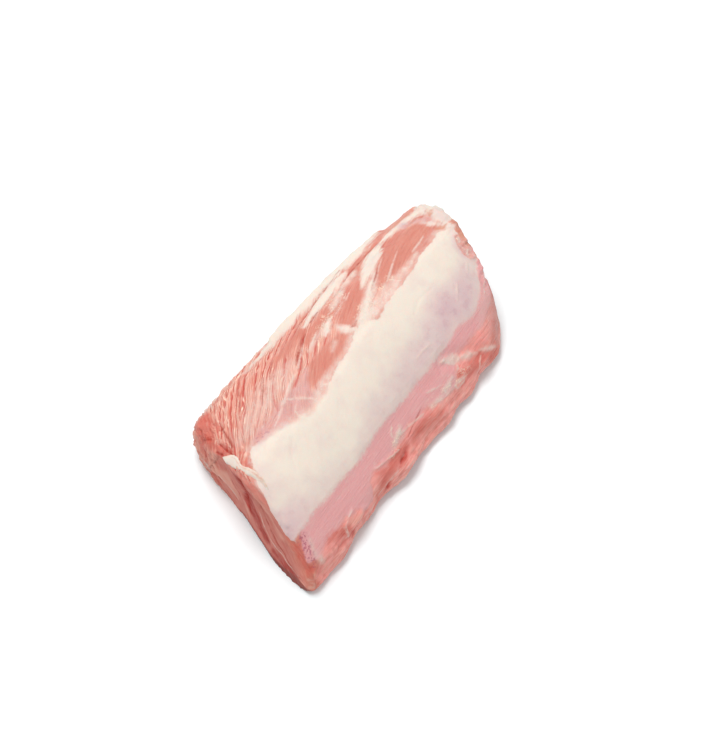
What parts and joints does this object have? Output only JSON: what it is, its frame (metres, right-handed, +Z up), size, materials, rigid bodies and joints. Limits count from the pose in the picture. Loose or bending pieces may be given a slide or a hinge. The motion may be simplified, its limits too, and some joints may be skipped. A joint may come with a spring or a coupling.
{
  "type": "veal ribeye steak",
  "caption": "Thick boneless block of raw veal ribeye: a domed loaf of pink muscle with a cream fat band along its crest, cut on the slant at both ends, lying on its flat underside.",
  "frame": {"origin": "middle of the box round the block, on the surface that it lies on", "axes": "+X along the block from the near cut to the far cut, +Y across it towards the thick flank, +Z up"},
  "size_m": [0.2388, 0.1188, 0.0567],
  "materials": {
    "raw_veal": "moist raw muscle with a cream fat band and thin silverskin"
  },
  "bodies": {
    "root": {"veal_ribeye": "raw_veal"}
  },
  "joints": []
}
